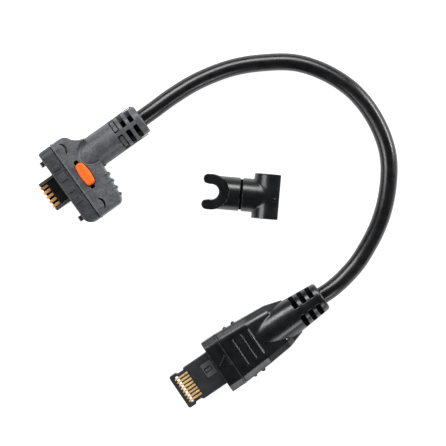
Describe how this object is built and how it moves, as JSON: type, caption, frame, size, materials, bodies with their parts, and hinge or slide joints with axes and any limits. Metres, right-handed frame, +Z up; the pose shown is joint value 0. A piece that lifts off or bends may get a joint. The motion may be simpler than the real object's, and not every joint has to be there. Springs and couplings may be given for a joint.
{
  "type": "short two-connector adapter lead with cable clip",
  "caption": "Short black adapter lead: grey tee plug with orange release button, flat contact plug in a ribbed boot, and a loose swivel cable clip.",
  "frame": {"origin": "middle of the footprint of the two connectors and the clip, on the surface they lie on", "axes": "+X runs from the tee plug towards the far side of the cable loop, +Y from the flat plug towards the top of the loop, and +Z up from the surface"},
  "size_m": [0.1027, 0.1013, 0.0128],
  "materials": {
    "shell_grey": "matt moulded, fine spark texture",
    "neck_grey": "soft matt overmould",
    "insert_black": "matt moulded",
    "contact_gold": "gold-plated, satin",
    "board_green": "solder resist",
    "button_orange": "satin moulded",
    "catch_steel": "oiled, darkened",
    "bright_steel": "drawn wire",
    "wire_coats": "PVC insulation",
    "ring_aluminium": "crimped",
    "cable_black": "smooth satin PVC jacket",
    "plug_black": "satin moulded",
    "bar_clear": "clear polycarbonate",
    "core_natural": "natural polyethylene",
    "boot_black": "satin moulded",
    "clip_black": "satin moulded"
  },
  "bodies": {
    "root": {"front_shell": "shell_grey", "rear_shell": "shell_grey", "neck_sleeve": "neck_grey", "tongue_frame": "shell_grey", "contact_block": "insert_black", "tongue_contacts": "contact_gold", "circuit_board": "board_green", "yoke_pins": "bright_steel", "catch_spring": "bright_steel", "tee_wires": "wire_coats", "tee_crimp_ring": "ring_aluminium", "cable": "cable_black", "plug_housing": "plug_black", "plug_contacts": "contact_gold", "load_bar": "bar_clear", "anchor_bar": "plug_black", "plug_wires": "wire_coats", "boot_core": "core_natural", "boot_collar": "boot_black", "boot_body": "boot_black", "boot_crimp_ring": "ring_aluminium"},
    "button": {"release_button": "button_orange"},
    "catch": {"catch_yoke": "catch_steel"},
    "clip_base": {"clip_saddle": "clip_black"},
    "clip_arm": {"clip_hook": "clip_black"}
  },
  "joints": [
    {"name": "button_press", "type": "slide", "parent": "root", "child": "button", "axis": [0, 0, -1], "range_m": [0, 0.0008], "stiffness_N_per_m": 600, "springref_m": -0.001, "deforming": ["catch_spring"]},
    {"name": "catch_tilt", "type": "hinge", "parent": "root", "child": "catch", "pos_m": [-0.03234, 0.02058, 0.007], "axis": [-0.5807, 0.8141, 0], "range_deg": [0, 10]},
    {"name": "clip_lift", "type": "slide", "parent": "root", "child": "clip_base", "axis": [0, 0, 1], "range_m": [0, 0.03]},
    {"name": "clip_turn", "type": "hinge", "parent": "clip_base", "child": "clip_arm", "pos_m": [0.0158, 0.0177, 0.0048], "axis": [0.9962, -0.0872, 0], "continuous": true}
  ],
  "couplings": [
    {"joint": "catch_tilt", "follows": "button_press", "rad_per_m": 212.77}
  ]
}
